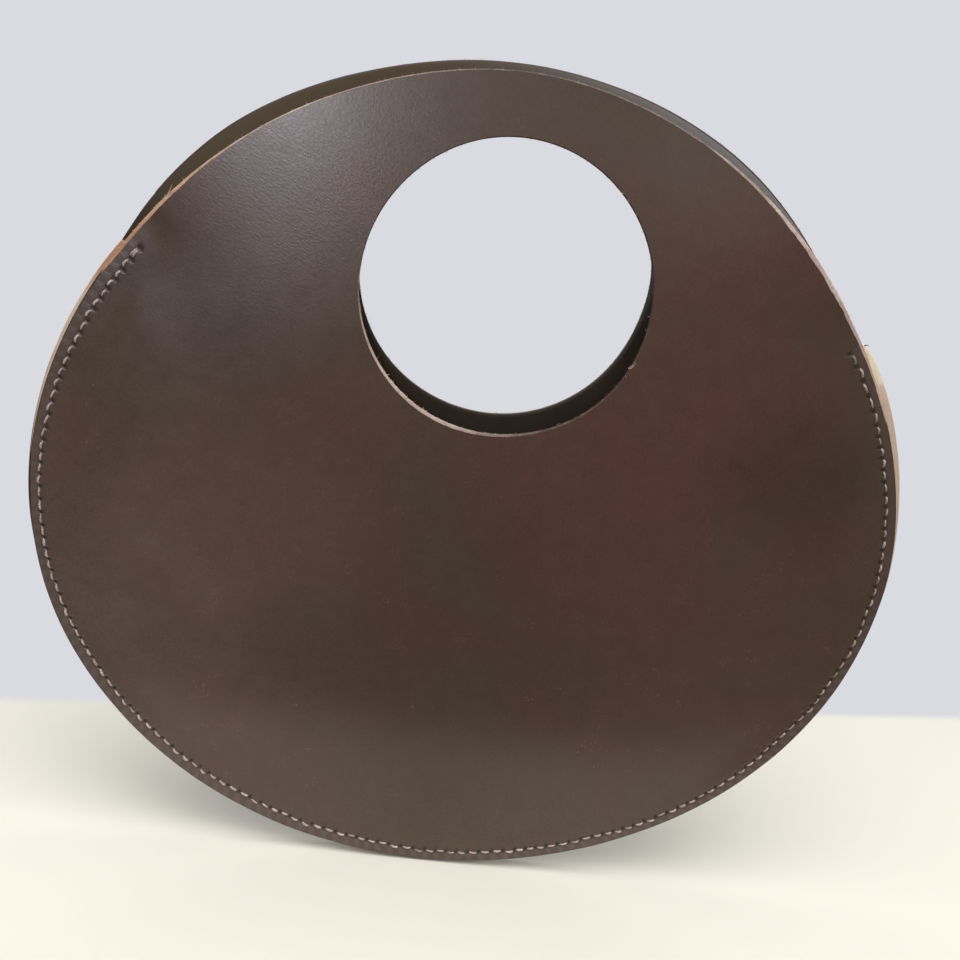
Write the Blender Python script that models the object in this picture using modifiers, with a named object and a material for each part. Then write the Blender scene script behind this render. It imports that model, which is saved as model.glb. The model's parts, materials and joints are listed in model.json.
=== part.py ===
"""Flat leather bag: two egg-shaped panels with round handle openings, sewn over a welt.

The bag stands upright. X is its width, Y its depth with the front at -Y, and Z is up from the
lowest point of the rim. Run with: blender --background --python part.py
"""

import math

import bmesh
import bpy
from mathutils import Matrix, Vector

# Leather
leather_thickness = 0.0022
edge_bevel = 0.0004
welt_thickness = 0.0030
welt_width = 0.0140
seat_gap = 0.0003

# Front panel outline, above and below its widest line
front_width = 0.3400
front_rise = 0.1674
front_drop = 0.1468
front_shoulder_power = 1.853
belly_power = 1.987

# Back panel, cut larger than the front one
back_side_proud = 0.0016
back_top_proud = 0.0052
back_bottom_proud = 0.0015
back_shoulder_power = 1.955

# Handle openings, each with its band of leather above
handle_hole_radius = 0.0549
front_band = 0.0215
back_band = 0.0198

# Seam ends, below the centre of the front opening
seam_end_drop = 0.0028
seam_margin = 0.0080

# Pocket between the panels' inner faces, and how the panels swell from the seam to it
pocket_gap = 0.0090
swell_width = 0.0500
mouth_spread_share = 0.60

# Flex line across each panel, where the handle arch bends
flex_gap = 0.0004

# Mesh steps
steps_round = 96
steps_across = 8
steps_along_welt = 64
ring_crowding_power = 1.5

# Colours, linear, and roughness
dyed_brown = (0.070, 0.045, 0.034, 1.0)
dyed_brown_back = (0.052, 0.036, 0.026, 1.0)
natural_tan = (0.520, 0.330, 0.220, 1.0)
grain_roughness = 0.45
cut_roughness = 0.75

# Places that follow from the sizes
widest_height = front_drop + back_bottom_proud
front_hole_rise = front_rise - front_band - handle_hole_radius
back_hole_rise = front_rise + back_top_proud - back_band - handle_hole_radius
seam_end_rise = front_hole_rise - seam_end_drop
flex_height = widest_height + seam_end_rise
seam_offset = welt_thickness / 2 + seat_gap + leather_thickness / 2
pocket_offset = (pocket_gap + leather_thickness) / 2
cutter_margin = leather_thickness


class PanelShape:
    """Outline, opening and side of the bag of one panel."""

    def __init__(self, side, half_width, rise, drop, shoulder_power, hole_rise):
        self.side = side
        self.half_width = half_width
        self.rise = rise
        self.drop = drop
        self.shoulder_power = shoulder_power
        self.hole_rise = hole_rise

    def rim(self, turn):
        """Point (x, z) of the egg outline. turn 0 is its top, and a quarter turn is its +X side."""
        across, up = math.sin(turn), math.cos(turn)
        height, power = (self.rise, self.shoulder_power) if up > 0 else (self.drop, belly_power)
        return Vector((
            self.half_width * math.copysign(abs(across) ** (2 / power), across),
            height * math.copysign(abs(up) ** (2 / power), up),
        ))

    def hole(self, turn):
        """Point (x, z) of the round handle opening."""
        return Vector((
            handle_hole_radius * math.sin(turn),
            self.hole_rise + handle_hole_radius * math.cos(turn),
        ))

    def turn_at(self, rise):
        """The turn at which the +X half of the outline has this height."""
        return math.acos((rise / self.rise) ** (self.shoulder_power / 2))

    def surface(self, turn, inward):
        """Middle of the leather. inward runs from 0 at the rim to 1 at the opening."""
        rim = self.rim(turn)
        ray = self.hole(turn) - rim
        flat = rim + ray * inward
        freed = (rim.y - seam_end_rise) / (mouth_spread_share * (self.rise - seam_end_rise))
        swell = (ray.length * inward - seam_margin) / swell_width
        closed = (1 - smooth_step(freed)) * (1 - smooth_step(swell))
        offset = pocket_offset + (seam_offset - pocket_offset) * closed
        return Vector((flat.x, self.side * offset, widest_height + flat.y))


def smooth_step(value):
    value = min(max(value, 0), 1)
    return value * value * (3 - 2 * value)


def clear_scene():
    for item in list(bpy.data.objects):
        bpy.data.objects.remove(item, do_unlink=True)


def new_collection(name, hidden=False):
    collection = bpy.data.collections.new(name)
    bpy.context.scene.collection.children.link(collection)
    collection.hide_render = hidden
    return collection


def leather_material(name, colour, roughness):
    material = bpy.data.materials.new(name)
    material.use_nodes = True
    shader = material.node_tree.nodes["Principled BSDF"]
    shader.inputs["Base Color"].default_value = colour
    shader.inputs["Roughness"].default_value = roughness
    shader.inputs["Metallic"].default_value = 0.0
    return material


def sheet_mesh(name, steps_u, steps_v, place):
    """A grid whose point (u, v), each from 0 to 1, is moved to place(u, v)."""
    mesh = bpy.data.meshes.new(name)
    grid = bmesh.new()
    bmesh.ops.create_grid(grid, x_segments=steps_u, y_segments=steps_v, size=1)
    for vertex in grid.verts:
        vertex.co = place((vertex.co.x + 1) / 2, (vertex.co.y + 1) / 2)
    bmesh.ops.remove_doubles(grid, verts=grid.verts, dist=seat_gap / 10)
    bmesh.ops.recalc_face_normals(grid, faces=grid.faces)
    grid.to_mesh(mesh)
    grid.free()
    mesh.shade_smooth()
    return mesh


def panel_mesh(name, shape):
    def place(u, v):
        return shape.surface(2 * math.pi * u, v ** ring_crowding_power)

    return sheet_mesh(name, steps_round, steps_across, place)


def welt_mesh(name, shape):
    """A strip of constant width inside the outline, from one end of the seam to the other."""
    first = shape.turn_at(seam_end_rise)
    along = 2 * math.pi - 2 * first
    step = along / steps_along_welt / 2

    def place(u, v):
        turn = first + along * u
        rim = shape.rim(turn)
        run = (shape.rim(turn + step) - shape.rim(turn - step)).normalized()
        inner = rim + Vector((run.y, -run.x)) * welt_width * v
        return Vector((inner.x, 0, widest_height + inner.y))

    return sheet_mesh(name, steps_along_welt, 1, place)


def add_leather(name, mesh, thickness, collection, material):
    """An object that gives the sheet its thickness, half to each side, and eases its cut edges."""
    piece = bpy.data.objects.new(name, mesh)
    collection.objects.link(piece)
    piece.data.materials.clear()
    piece.data.materials.append(material)
    wall = piece.modifiers.new("thickness", "SOLIDIFY")
    wall.thickness = thickness
    wall.offset = 0
    ease = piece.modifiers.new("eased edges", "BEVEL")
    ease.width = edge_bevel
    ease.segments = 1
    ease.limit_method = "ANGLE"
    ease.angle_limit = math.radians(60)
    return piece


def add_cutter(name, low, high, collection):
    """A box between two heights, past the bag on every side."""
    size = Vector((
        front_width + 2 * back_side_proud + 2 * cutter_margin,
        2 * pocket_offset + leather_thickness + 2 * cutter_margin,
        high - low,
    ))
    mesh = bpy.data.meshes.new(name)
    block = bmesh.new()
    middle = Matrix.Translation((0, 0, (low + high) / 2))
    bmesh.ops.create_cube(block, size=1, matrix=middle @ Matrix.Diagonal(size.to_4d()))
    block.to_mesh(mesh)
    block.free()
    cutter = bpy.data.objects.new(name, mesh)
    collection.objects.link(cutter)
    cutter.hide_render = True
    cutter.display_type = "WIRE"
    return cutter


def cut(piece, cutter):
    boolean = piece.modifiers.new("flex line", "BOOLEAN")
    boolean.operation = "DIFFERENCE"
    boolean.solver = "EXACT"
    boolean.object = cutter


def add_flex_axis(name, side, collection):
    """An empty on the line across the panel's outer face about which its handle arch bends."""
    axis = bpy.data.objects.new(name, None)
    collection.objects.link(axis)
    axis.location = (0, side * (pocket_offset + leather_thickness / 2), flex_height)
    axis.empty_display_size = handle_hole_radius
    return axis


def add_panel(word, shape, colour, parts, above, below):
    """The sewn panel below the flex line, and its handle arch above it."""
    panel = add_leather(
        word + "_panel",
        panel_mesh(word + "_panel", shape),
        leather_thickness,
        parts,
        leather_material(word + " panel leather", colour, grain_roughness),
    )
    arch = add_leather(
        word + "_handle_arch",
        panel_mesh(word + "_handle_arch", shape),
        leather_thickness,
        parts,
        leather_material(word + " arch leather", colour, grain_roughness),
    )
    cut(panel, above)
    cut(arch, below)
    axis = add_flex_axis(word + "_flex_axis", shape.side, parts)
    arch.parent = axis
    arch.matrix_parent_inverse = Matrix.Translation(axis.location).inverted()


def build():
    clear_scene()
    parts = new_collection("leather_bag")
    cutters = new_collection("cutters", hidden=True)
    front = PanelShape(
        -1, front_width / 2, front_rise, front_drop, front_shoulder_power, front_hole_rise
    )
    back = PanelShape(
        1,
        front_width / 2 + back_side_proud,
        front_rise + back_top_proud,
        front_drop + back_bottom_proud,
        back_shoulder_power,
        back_hole_rise,
    )
    bottom = -cutter_margin
    top = widest_height + back.rise + cutter_margin
    above = add_cutter("space_above_flex_line", flex_height - flex_gap / 2, top, cutters)
    below = add_cutter("space_below_flex_line", bottom, flex_height + flex_gap / 2, cutters)
    add_panel("front", front, dyed_brown, parts, above, below)
    add_panel("back", back, dyed_brown_back, parts, above, below)
    add_leather(
        "seam_welt",
        welt_mesh("seam_welt", back),
        welt_thickness,
        parts,
        leather_material("natural welt leather", natural_tan, cut_roughness),
    )


build()
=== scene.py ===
import json
import math

import bmesh
import bpy
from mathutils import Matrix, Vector


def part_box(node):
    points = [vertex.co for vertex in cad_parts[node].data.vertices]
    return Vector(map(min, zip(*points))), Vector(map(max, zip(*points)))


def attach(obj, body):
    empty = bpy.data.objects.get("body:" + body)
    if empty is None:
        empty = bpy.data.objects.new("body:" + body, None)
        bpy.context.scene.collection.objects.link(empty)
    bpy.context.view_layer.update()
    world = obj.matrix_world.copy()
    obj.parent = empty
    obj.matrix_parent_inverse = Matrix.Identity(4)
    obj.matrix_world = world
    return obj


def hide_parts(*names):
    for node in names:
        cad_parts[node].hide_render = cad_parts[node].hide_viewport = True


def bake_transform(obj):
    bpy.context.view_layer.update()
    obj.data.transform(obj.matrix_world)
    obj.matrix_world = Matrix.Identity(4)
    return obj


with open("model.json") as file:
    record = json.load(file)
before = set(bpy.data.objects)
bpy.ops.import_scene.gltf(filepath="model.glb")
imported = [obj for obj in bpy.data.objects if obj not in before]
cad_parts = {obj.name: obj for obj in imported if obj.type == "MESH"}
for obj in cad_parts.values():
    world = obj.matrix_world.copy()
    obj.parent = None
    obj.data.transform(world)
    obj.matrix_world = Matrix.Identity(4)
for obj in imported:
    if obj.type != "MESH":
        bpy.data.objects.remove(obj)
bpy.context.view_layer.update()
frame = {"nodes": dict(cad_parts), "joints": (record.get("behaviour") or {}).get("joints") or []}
scene = bpy.context.scene
mm = 0.001
print("frame loaded:", sorted(frame["nodes"]))


# Sizes that all pieces share, from the frame where it gives them
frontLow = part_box("front_panel")[0]
frontHigh = Vector(map(max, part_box("front_panel")[1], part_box("front_handle_arch")[1]))
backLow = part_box("back_panel")[0]
backHigh = Vector(map(max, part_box("back_panel")[1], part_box("back_handle_arch")[1]))
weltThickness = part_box("seam_welt")[1].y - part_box("seam_welt")[0].y
flexHeight = frame["joints"][0]["pos_m"][2]
outerFace = frame["joints"][1]["pos_m"][1]

leather = {
    "thickness": 2.2 * mm,
    "widestHeight": 148.3 * mm,  # the widest line of both outlines
    "holeRadius": 54.9 * mm,
    "frontBand": 21.5 * mm,  # leather above the opening
    "backBand": 19.8 * mm,
    "frontShoulderPower": 1.853,
    "backShoulderPower": 1.955,
    "bellyPower": 1.987,
    "seamMargin": 8.0 * mm,
    "swellWidth": 90.0 * mm,
}
widestHeight = leather["widestHeight"]
frontRise = frontHigh.z - widestHeight
backRise = backHigh.z - widestHeight
seamEndRise = flexHeight - widestHeight
seamTurn = math.acos((seamEndRise / frontRise) ** (leather["frontShoulderPower"] / 2))
seamOffset = (weltThickness + leather["thickness"]) / 2
pocketOffset = outerFace - leather["thickness"] / 2


# Node helpers, for geometry and for materials
class Wire:  # an output socket that takes part in sums as a number does
    def __init__(self, socket):
        self.socket = socket
        self.tree = socket.id_data

    def math(self, operation, *others):
        values = dict(enumerate((self, *others)))
        return putNode(self.tree, "ShaderNodeMath", values, operation=operation)

    def __add__(self, other):
        return self.math("ADD", other)

    def __sub__(self, other):
        return self.math("SUBTRACT", other)

    def __rsub__(self, other):
        return self.math("MULTIPLY_ADD", -1, other)

    def __mul__(self, other):
        return self.math("MULTIPLY", other)

    def __truediv__(self, other):
        return self.math("DIVIDE", other)

    def __pow__(self, other):
        return self.math("POWER", other)

    __radd__ = __add__
    __rmul__ = __mul__

    def smooth(self, low, high):  # 0 before low, 1 after high
        values = dict(enumerate((self, low, high, 0, 1)))
        return putNode(self.tree, "ShaderNodeMapRange", values, interpolation_type="SMOOTHSTEP")

    def hump(self, width):  # 1 at zero, fading to both sides
        ratio = self / width
        return (ratio * ratio * -1).math("EXPONENT")


def feed(slot, value):
    if isinstance(value, Wire):
        value = value.socket
    if isinstance(value, bpy.types.NodeSocket):
        slot.id_data.links.new(value, slot)
    else:
        slot.default_value = value


def feedAll(node, values):
    for key, value in values.items():
        feed(node.inputs[key], value)


def addNode(tree, kind, values=None, **settings):
    node = tree.nodes.new(kind)
    for key, value in settings.items():
        setattr(node, key, value)
    feedAll(node, values or {})
    return node


def putNode(tree, kind, values=None, output=0, **settings):  # a node of which one output is used
    return Wire(addNode(tree, kind, values, **settings).outputs[output])


def treeOf(*values):
    return next(value.tree for value in values if isinstance(value, Wire))


def joinXYZ(x, y, z):
    return putNode(treeOf(x, y, z), "ShaderNodeCombineXYZ", {"X": x, "Y": y, "Z": z})


def splitXYZ(vector):
    return [Wire(s) for s in addNode(vector.tree, "ShaderNodeSeparateXYZ", {"Vector": vector}).outputs]


def noise(vector, scale, detail=2.0, roughness=0.5, seed=0.0, distortion=0.0):
    values = {"Vector": vector, "W": seed, "Scale": scale, "Detail": detail,
              "Roughness": roughness, "Distortion": distortion}
    return putNode(vector.tree, "ShaderNodeTexNoise", values, noise_dimensions="4D")


def wander(run, rate, seed):  # a slow random line along a run, from -1 to 1
    values = {"W": run * rate + seed, "Scale": 1.0, "Detail": 1.0}
    return putNode(run.tree, "ShaderNodeTexNoise", values, noise_dimensions="1D") * 2.0 - 1.0


def newTree(name, kind, inputs, outputs):
    tree = bpy.data.node_groups.new(name, kind)
    for way, sockets in (("INPUT", inputs), ("OUTPUT", outputs)):
        for label, value in sockets.items():
            socket = tree.interface.new_socket(label, in_out=way, socket_type=socketType(value))
            if way == "INPUT" and not isinstance(value, str):
                socket.default_value = value
    arrive = tree.nodes.new("NodeGroupInput")
    leave = tree.nodes.new("NodeGroupOutput")
    wires = {label: Wire(arrive.outputs[label]) for label in inputs}
    return tree, wires, leave


def newGrower(name, inputs):
    return newTree(name, "GeometryNodeTree", inputs, {"Geometry": "Geometry"})


def socketType(value):
    if isinstance(value, str):
        return "NodeSocket" + value  # Object, Material or Geometry
    if isinstance(value, int):
        return "NodeSocketInt"
    return "NodeSocketFloat" if isinstance(value, float) else "NodeSocketVector"


def newObject(name, data):
    item = bpy.data.objects.new(name, data)
    scene.collection.objects.link(item)
    return item


def growPiece(name, tree, values):
    piece = newObject(name, bpy.data.meshes.new(name))
    modifier = piece.modifiers.new("grow", "NODES")
    modifier.node_group = tree
    for item in tree.interface.items_tree:
        if item.in_out == "INPUT" and item.name in values:
            modifier[item.identifier] = values[item.name]
    graph = bpy.context.evaluated_depsgraph_get()
    grown = piece.evaluated_get(graph)
    mesh = bpy.data.meshes.new_from_object(grown, preserve_all_data_layers=True, depsgraph=graph)
    piece.modifiers.remove(modifier)
    piece.data = mesh
    mesh.name = name
    faces = bmesh.new()
    faces.from_mesh(mesh)
    bmesh.ops.recalc_face_normals(faces, faces=faces.faces)
    faces.to_mesh(mesh)
    faces.free()
    return piece


# The seam line, which leather, welt and thread all follow
seamLine = {
    "Front Half Width": frontHigh.x,
    "Front Rise": frontRise,
    "Front Drop": widestHeight - frontLow.z,
    "Front Shoulder Power": leather["frontShoulderPower"],
    "Belly Power": leather["bellyPower"],
    "Widest Height": widestHeight,
    "Stitch Inset": 3.8 * mm,  # from the front panel's edge
    "Stitch Drift": 0.7 * mm,  # further in on the left, less on the right
    "Stitch Wobble": 0.5 * mm,
    "Pitch": 4.81 * mm,
    "Stitches": 139,
    "Hand": 0.11,  # share of a pitch that the stitches wander along the line
    "Hand Rate": 0.83,
    "Long Stitches": 5,  # the last few, at the right end
    "Long Stretch": 1.2 * mm,
}
seamBumps = [(56, 1.3, 2.5), (-57, 0.5, 2.5)]  # the thread's two ends lie further in
seamLead, seamTail = 0.016, 0.031  # turn by which the thread runs past the welt at both ends
seamStart = 2 * math.pi - seamTurn + seamLead
seamSweep = 2 * math.pi - 2 * seamTurn + seamLead + seamTail
seamSway = (3.1, 7.0)  # rate and seed of the stitch line's wobble
guideSteps = 2400
turnNudge = 0.002  # half the turn over which the outline's run is measured


def atTurns(turn, base, bumps):  # a value round the outline: bumps of (degrees, size, width in degrees)
    total = base
    for place, size, width in bumps:
        spread = 1 / math.radians(width) ** 2
        away = (turn - math.radians(place)).math("COSINE") - 1
        total = total + (away * spread).math("EXPONENT") * size
    return total


def eggPoint(wires, prefix, turn):
    across, up = turn.math("SINE"), turn.math("COSINE")
    above = up.math("GREATER_THAN", 0)
    rise, drop = wires[prefix + "Rise"], wires[prefix + "Drop"]
    belly, shoulder = wires["Belly Power"], wires[prefix + "Shoulder Power"]
    power = (belly + (shoulder - belly) * above).math("DIVIDE", 2) ** -1
    x = wires[prefix + "Half Width"] * across.math("SIGN") * across.math("ABSOLUTE") ** power
    z = (drop + (rise - drop) * above) * up.math("SIGN") * up.math("ABSOLUTE") ** power
    return x, z


def lengthOf(x, z):
    return (x * x + z * z).math("SQRT")


def seamPoint(wires, turn):  # a point of the stitch line, and the way inwards there
    x, z = eggPoint(wires, "Front ", turn)
    beforeX, beforeZ = eggPoint(wires, "Front ", turn - turnNudge)
    afterX, afterZ = eggPoint(wires, "Front ", turn + turnNudge)
    runX, runZ = afterX - beforeX, afterZ - beforeZ
    run = lengthOf(runX, runZ)
    inX, inZ = runZ / run, runX / run * -1
    inset = wires["Stitch Inset"] - wires["Stitch Drift"] * turn.math("SINE")
    inset = inset + wires["Stitch Wobble"] * wander(turn, *seamSway)
    inset = inset + atTurns(turn, 0.0, seamBumps) * mm
    return x + inX * inset, z + inZ * inset, inX, inZ


def guideCurve(wires, firstTurn, sweep):  # the stitch line as a curve, with its turn
    tree = firstTurn.tree
    line = putNode(tree, "GeometryNodeCurvePrimitiveLine")
    dense = putNode(tree, "GeometryNodeResampleCurve", {"Curve": line, "Count": guideSteps})
    turn = firstTurn - putNode(tree, "GeometryNodeInputIndex") / (guideSteps - 1) * sweep
    x, z, _, _ = seamPoint(wires, turn)
    place = joinXYZ(x, 0.0, z + wires["Widest Height"])
    laid = putNode(tree, "GeometryNodeSetPosition", {"Geometry": dense, "Position": place})
    return storeValue(laid, "turn", turn)


def storeValue(geometry, name, value, kind="FLOAT", domain="POINT"):
    values = {"Geometry": geometry, "Name": name, "Value": value}
    return putNode(geometry.tree, "GeometryNodeStoreNamedAttribute", values, data_type=kind,
                   domain=domain)


def readValue(tree, name):
    return putNode(tree, "GeometryNodeInputNamedAttribute", {"Name": name}, data_type="FLOAT")


def sampleValue(geometry, name, index):
    values = {"Geometry": geometry, "Value": readValue(index.tree, name), "Index": index}
    return putNode(index.tree, "GeometryNodeSampleIndex", values, data_type="FLOAT")


def curveLength(curve):
    return putNode(curve.tree, "GeometryNodeCurveLength", {"Curve": curve})


def handPlace(wires, number):  # the distance along the seam of one awl hole
    swayed = number + (number * wires["Hand Rate"]).math("SINE") * wires["Hand"]
    late = (number - wires["Stitches"] + wires["Long Stitches"]).math("MAXIMUM", 0)
    return swayed * wires["Pitch"] + late * wires["Long Stretch"]


def handCount(wires, run):  # the other way round: whole numbers fall on the awl holes
    pitch = wires["Pitch"]
    first = (wires["Stitches"] - wires["Long Stitches"]) * pitch
    late = (run - first).math("MAXIMUM", 0)
    even = run / pitch - late / pitch + late / (pitch + wires["Long Stretch"])
    return even - (even * wires["Hand Rate"]).math("SINE") * wires["Hand"]


# A cut sheet that follows the seam line: the two leather panels, and the welt between them
sheetSizes = {  # the outline and the opening are the front panel's
    **seamLine,
    "Profile": "Object",
    "Rows": 70,
    "Columns": 960,
    "Closed Ends": 0,
    "First Turn": 0.0,
    "Sweep": 2 * math.pi,
    "Lead Sweep": 0.0,
    "Side": -1.0,
    "Half Width": frontHigh.x,
    "Rise": frontRise,
    "Drop": widestHeight - frontLow.z,
    "Shoulder Power": leather["frontShoulderPower"],
    "Edge Wobble": 0.2 * mm,
    "Hole Radius": leather["holeRadius"],
    "Hole Rise": frontRise - leather["frontBand"] - leather["holeRadius"],
    "Hole Aside": 0.0,
    "Cut Inside": 0.7,  # share of the hole's bevel that lies inside its radius
    "Thickness": leather["thickness"],
    "Seam Offset": seamOffset,
    "Pocket Offset": pocketOffset,
    "Seam End Turn": seamTurn,
    "Seam Margin": leather["seamMargin"],
    "Swell Width": leather["swellWidth"],
    "Bare Start": 10 * mm,
    "Bare End": 26 * mm,
    "Groove": 0.13 * mm,
    "Pucker": 0.035 * mm,
    "Wave": 0.10 * mm,
    "Seed": 1.0,
    "Grain Rows": 1.0,
    "Hole Edge Rows": 1.0,
    "Flesh Rows": 1.0,
    "Grain": "Material",
    "Cut Edge": "Material",
    "Flesh": "Material",
}
handCut = {  # rates are for each metre of cut
    "wobbleRate": 24.0,
    "raggedRate": 90.0,
    "ragged": 0.18,
    "nickRate": 400.0,
    "nicks": 0.10,
    "burnished": 0.35,  # how much less is bevelled where the cut is burnished
}
seamRelief = {
    "grooveWidth": 0.85 * mm,
    "marginPlace": 2.0 * mm,  # outside the stitch line
    "marginWidth": 1.5 * mm,
    "waveScale": 11.0,
}
profileValues = ("toStitch", "past", "across", "outside", "depth", "rimCut", "holeCut", "drop")


def sheetTree(name, cuts):
    def cut(key):
        return atTurns(turn, *cuts.get(key, (0.0, [])))

    tree, wires, leave = newGrower(name, sheetSizes)
    columns, rows, ends = wires["Columns"], wires["Rows"], wires["Closed Ends"]
    thickness, seed = wires["Thickness"], wires["Seed"]
    guide = guideCurve(wires, wires["First Turn"], wires["Sweep"])
    lead = curveLength(guideCurve(wires, wires["First Turn"], wires["Lead Sweep"]))
    steps = columns - ends * 2
    ring = putNode(tree, "GeometryNodeResampleCurve", {"Curve": guide, "Count": steps + 1})
    profile = putNode(tree, "GeometryNodeObjectInfo", {"Object": wires["Profile"]}, "Geometry")
    grid = putNode(tree, "GeometryNodeMeshGrid",
                   {"Size X": 1.0, "Size Y": 1.0, "Vertices X": columns + 1, "Vertices Y": rows})

    # Each point's column runs along the seam line, and its row round the sheet's section
    px, py, _ = splitXYZ(putNode(tree, "GeometryNodeInputPosition"))
    column = ((px + 0.5) * columns).math("ROUND")
    row = (py + 0.5) * (rows - 1)
    step = (column - ends).math("MAXIMUM", 0).math("MINIMUM", steps)
    turn = sampleValue(ring, "turn", step)
    run = step / steps * curveLength(guide) - lead
    section = {name: sampleValue(profile, name, row.math("ROUND")) for name in profileValues}
    atEnd = (column - columns / 2).math("ABSOLUTE").math("GREATER_THAN", columns / 2 - 0.5) * ends

    # The sheet's own outline, cut by hand
    seamX, seamZ, inX, inZ = seamPoint(wires, turn)
    eggX, eggZ = eggPoint(wires, "", turn)
    proud = cut("proud") * mm + wires["Edge Wobble"] * wander(run, handCut["wobbleRate"], seed)
    rimX, rimZ = eggX - inX * proud, eggZ - inZ * proud

    # How far the knife bevelled the rim and the opening, and where the cut is bare
    seamEnd = handPlace(wires, wires["Stitches"])
    sewn = run.smooth(-2 * mm, 0.0) * (1 - run.smooth(seamEnd, seamEnd + 2 * mm))
    dark = run.smooth(wires["Bare Start"], wires["Bare Start"] * 2)
    dark = dark * (1 - run.smooth(seamEnd - wires["Bare End"] * 1.4, seamEnd - wires["Bare End"]))
    ragged = wander(run, handCut["raggedRate"], seed + 3) * handCut["ragged"]
    ragged = ragged + wander(run, handCut["nickRate"], 5.0) * handCut["nicks"] + 1
    rimCut = cut("rimCut") * mm * ragged * (1 - dark * handCut["burnished"])
    holeCut = cut("holeCut") * mm * ragged
    across = section["across"]
    # the opening's bareness also carries painted light: its bevel is paler where it faces up towards
    # the lamps
    bare = cut("rimBare") * (1 - dark) * (1 - across) + cut("holeBareAndPaintedLight") * across
    bare = bare * section["depth"].smooth(-1.0, -0.55)  # dye crept in from the flesh side

    # The place in the sheet's plane
    gapX, gapZ = seamX - rimX, seamZ - rimZ
    gap = lengthOf(gapX, gapZ)
    share = section["toStitch"] + rimCut * section["rimCut"] / gap
    baseX = rimX + gapX * share + inX * section["past"]
    baseZ = rimZ + gapZ * share + inZ * section["past"]
    radius = wires["Hole Radius"] + cut("wider") * mm + section["outside"]
    radius = radius + holeCut * (section["holeCut"] - wires["Cut Inside"])
    x = baseX + (radius * turn.math("SINE") + wires["Hole Aside"] - baseX) * across
    z = baseZ + (radius * turn.math("COSINE") + wires["Hole Rise"] - baseZ) * across
    inset = lengthOf(x - rimX, z - rimZ)
    beyond = inset - gap  # from the stitch line inwards

    # The place across the bag's depth
    endX, endZ = eggPoint(wires, "", wires["Seam End Turn"])
    fromEnd = lengthOf(endX - x.math("ABSOLUTE"), endZ - z)
    free = turn.math("COSINE").math("GREATER_THAN", wires["Seam End Turn"].math("COSINE"))
    sewnReach = lengthOf(x - eggX, z - eggZ).math("MINIMUM", fromEnd)
    reach = sewnReach + (fromEnd - sewnReach) * free
    bow = ((reach - wires["Seam Margin"]) / wires["Swell Width"]).math("MAXIMUM", 0).math("MINIMUM", 1)
    bow = (1 - (1 - bow) ** 2) * reach.smooth(wires["Seam Margin"] * 0.8, wires["Seam Margin"] * 2.6)
    closed = 1 - bow
    offset = wires["Pocket Offset"] + (wires["Seam Offset"] - wires["Pocket Offset"]) * closed
    cutDepth = (rimCut * (1 - across) + holeCut * across) * 0.6
    cutDepth = cutDepth.math("MINIMUM", thickness * 0.4)
    height = (section["depth"] * thickness / 2 - section["drop"] * cutDepth) * (1 - atEnd)
    count = handCount(wires, run)
    beat = (count * (2 * math.pi)).math("COSINE")
    grain = section["depth"].math("GREATER_THAN", 0.9) * (1 - section["drop"])
    groove = beyond.hump(seamRelief["grooveWidth"]) * (beat * 0.4 + 0.6) * wires["Groove"] * -1
    margin = (beyond + seamRelief["marginPlace"]).hump(seamRelief["marginWidth"])
    pucker = beat * margin * wires["Pucker"] * -1
    flat = joinXYZ(x, seed, z)
    wave = (noise(flat, seamRelief["waveScale"], 1.0) - 0.5) * 2 * wires["Wave"] * (1 - closed)
    y = wires["Side"] * (offset + height + (groove + pucker) * grain * sewn + wave)

    # Materials by row, then what the materials read, then the shape
    inner = row.math("GREATER_THAN", wires["Hole Edge Rows"])
    inner = inner * row.math("LESS_THAN", wires["Flesh Rows"])
    geometry = setMaterial(grid, wires["Cut Edge"])
    geometry = setMaterial(geometry, wires["Grain"], row.math("LESS_THAN", wires["Grain Rows"]))
    geometry = setMaterial(geometry, wires["Flesh"], inner)
    seamMap = joinXYZ(count, beyond / wires["Pitch"], 0.0)
    geometry = storeValue(geometry, "seam", seamMap, "FLOAT2", "CORNER")
    geometry = storeValue(geometry, "bare", bare)
    geometry = storeValue(geometry, "sewn", sewn)
    place = joinXYZ(x, y, z + wires["Widest Height"])
    geometry = putNode(tree, "GeometryNodeSetPosition", {"Geometry": geometry, "Position": place})
    geometry = putNode(tree, "GeometryNodeMergeByDistance", {"Geometry": geometry, "Distance": 1e-6})
    for kind in ("GeometryNodeSetShadeSmooth", "GeometryNodeRealizeInstances"):
        geometry = putNode(tree, kind, {"Geometry": geometry})
    feed(leave.inputs[0], geometry)
    return tree


def setMaterial(geometry, material, selection=True):
    values = {"Geometry": geometry, "Material": material, "Selection": selection}
    return putNode(geometry.tree, "GeometryNodeSetMaterial", values)


def drawProfile(name, rows):  # the rows of a sheet's section, as points that hold its values
    mesh = bpy.data.meshes.new(name)
    mesh.vertices.add(len(rows))
    for key in profileValues:
        values = mesh.attributes.new(key, "FLOAT", "POINT").data
        values.foreach_set("value", [float(row.get(key, 0.0)) for row in rows])
    return newObject(name, mesh)


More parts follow.
